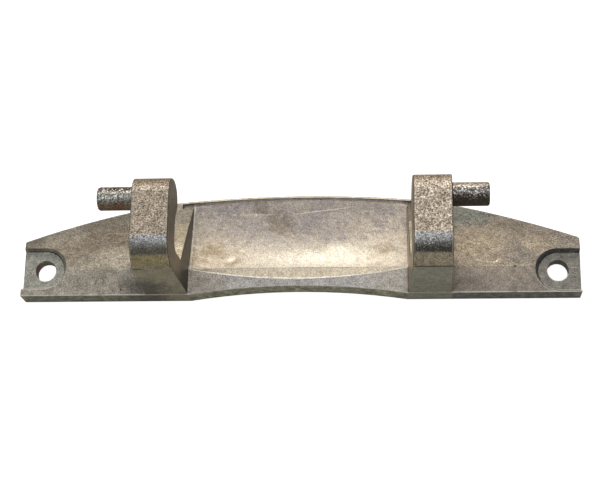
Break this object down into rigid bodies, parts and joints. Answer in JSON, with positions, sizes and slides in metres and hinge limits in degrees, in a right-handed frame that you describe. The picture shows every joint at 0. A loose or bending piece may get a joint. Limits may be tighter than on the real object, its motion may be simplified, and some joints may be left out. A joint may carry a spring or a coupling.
{
  "type": "washing machine door hinge",
  "caption": "Cast door hinge bracket: a bowed mounting plate with two sunk screw holes and two hooked arms that carry outward-facing hinge pins.",
  "frame": {"origin": "middle of the flat mounting face: halfway along the plate and halfway between its front edge and its rear rim", "axes": "+X along the plate and the pins' common axis, +Y from the front edge towards the rear rim, +Z out of the mounting face towards the arms"},
  "size_m": [0.1954, 0.0381, 0.0413],
  "materials": {
    "cast_alloy": "as-cast zinc alloy, tumbled",
    "pin_steel": "darkened steel"
  },
  "bodies": {
    "root": {"hinge_casting": "cast_alloy", "left_pin": "pin_steel", "right_pin": "pin_steel"}
  },
  "joints": []
}
